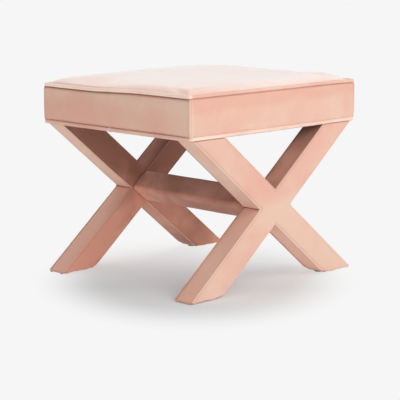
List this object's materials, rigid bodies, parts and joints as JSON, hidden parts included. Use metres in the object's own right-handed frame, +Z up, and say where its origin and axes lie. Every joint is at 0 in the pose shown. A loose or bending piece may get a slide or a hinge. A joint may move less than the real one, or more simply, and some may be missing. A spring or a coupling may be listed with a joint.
{
  "type": "x-frame bench",
  "caption": "Low upholstered bench with a crowned, welted box seat on velvet-covered X-frames that a diamond-section stretcher joins.",
  "frame": {"origin": "on the floor under the middle of the seat", "axes": "+X along the width that each X-frame spans, +Y from the front X-frame to the rear one, along the stretcher, +Z up"},
  "size_m": [0.56, 0.49, 0.4824],
  "materials": {
    "blush_velvet": "matte",
    "polyester_batting": "matte",
    "seat_foam": "matte",
    "dust_cover_cambric": "matte",
    "poplar": "matte",
    "birch_plywood": "matte",
    "zinc_plated_steel": "satin",
    "brown_nylon": "satin"
  },
  "bodies": {
    "root": {"batting_wrap": "polyester_batting", "bottom_welt": "blush_velvet", "boxing_back": "blush_velvet", "boxing_front": "blush_velvet", "boxing_left": "blush_velvet", "boxing_right": "blush_velvet", "dust_cover": "dust_cover_cambric", "front_inner_panel": "blush_velvet", "front_left_glide_heel": "brown_nylon", "front_left_glide_toe": "brown_nylon", "front_left_leg_bolt": "zinc_plated_steel", "front_left_leg_insert": "zinc_plated_steel", "front_leg_falling": "poplar", "front_leg_rising": "poplar", "front_outer_panel": "blush_velvet", "front_right_glide_heel": "brown_nylon", "front_right_glide_toe": "brown_nylon", "front_right_leg_bolt": "zinc_plated_steel", "front_right_leg_insert": "zinc_plated_steel", "front_stretcher_bolt": "zinc_plated_steel", "front_stretcher_dowel": "poplar", "front_strip_bottom": "blush_velvet", "front_strip_left": "blush_velvet", "front_strip_right": "blush_velvet", "front_strip_top": "blush_velvet", "mounting_board_back": "birch_plywood", "mounting_board_front": "birch_plywood", "rear_inner_panel": "blush_velvet", "rear_left_glide_heel": "brown_nylon", "rear_left_glide_toe": "brown_nylon", "rear_left_leg_bolt": "zinc_plated_steel", "rear_left_leg_insert": "zinc_plated_steel", "rear_leg_falling": "poplar", "rear_leg_rising": "poplar", "rear_outer_panel": "blush_velvet", "rear_right_glide_heel": "brown_nylon", "rear_right_glide_toe": "brown_nylon", "rear_right_leg_bolt": "zinc_plated_steel", "rear_right_leg_insert": "zinc_plated_steel", "rear_stretcher_bolt": "zinc_plated_steel", "rear_stretcher_dowel": "poplar", "rear_strip_bottom": "blush_velvet", "rear_strip_left": "blush_velvet", "rear_strip_right": "blush_velvet", "rear_strip_top": "blush_velvet", "seat_deck": "birch_plywood", "seat_foam": "seat_foam", "seat_rail_back": "poplar", "seat_rail_front": "poplar", "seat_rail_left": "poplar", "seat_rail_right": "poplar", "seat_top_panel": "blush_velvet", "side_cleat_left": "birch_plywood", "side_cleat_right": "birch_plywood", "stretcher_core": "poplar", "stretcher_sleeve": "blush_velvet", "top_welt": "blush_velvet"}
  },
  "joints": []
}
